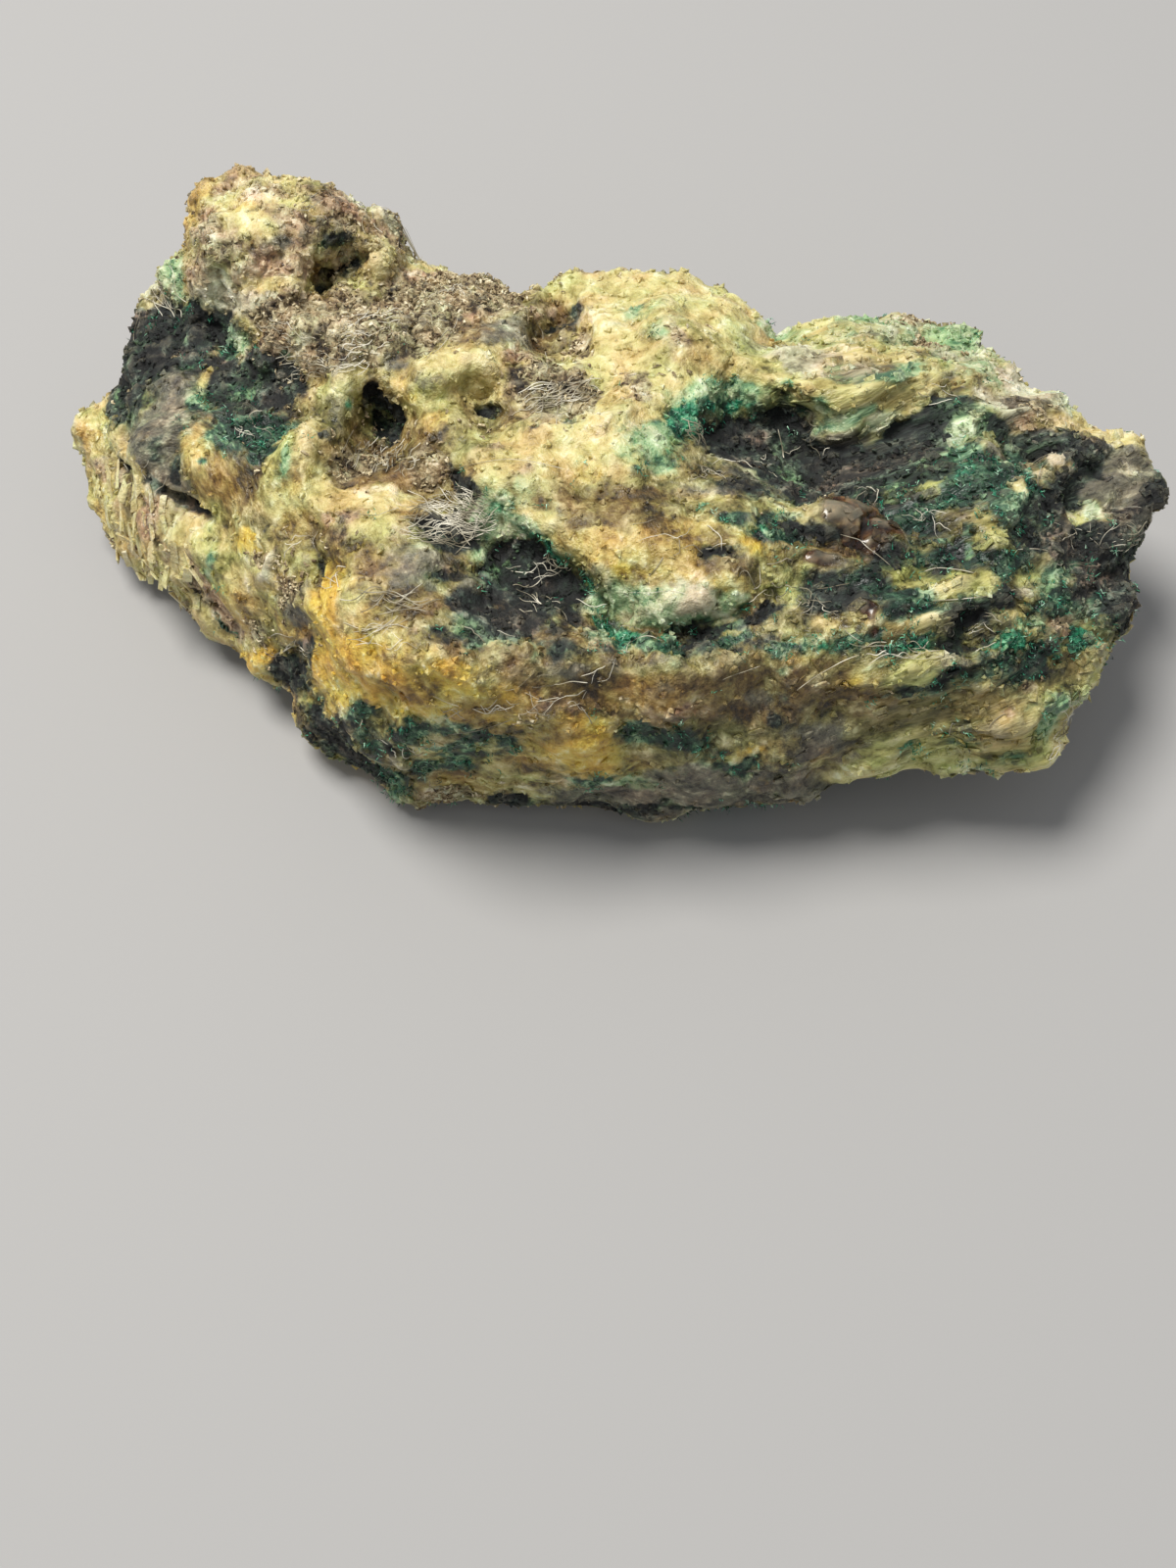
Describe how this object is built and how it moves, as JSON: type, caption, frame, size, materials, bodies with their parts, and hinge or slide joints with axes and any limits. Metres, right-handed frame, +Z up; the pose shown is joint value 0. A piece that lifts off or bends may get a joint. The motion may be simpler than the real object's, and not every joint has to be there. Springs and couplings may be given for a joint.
{
  "type": "malachite on quartz specimen",
  "caption": "Hand-sized broken lump of iron-stained quartz with malachite and dark copper minerals in its hollows, lying on a flat underside.",
  "frame": {"origin": "middle of the stone's bounding box, at the flat face it lies on", "axes": "+X along the stone's length to its layered dark end, +Y towards the back, where the raised knob is, +Z up"},
  "size_m": [0.0526, 0.0312, 0.0157],
  "materials": {
    "stone": "rough, sugary broken quartz, stained yellow-brown, with green malachite and near-black crusts"
  },
  "bodies": {
    "root": {"stone": "stone"}
  },
  "joints": []
}
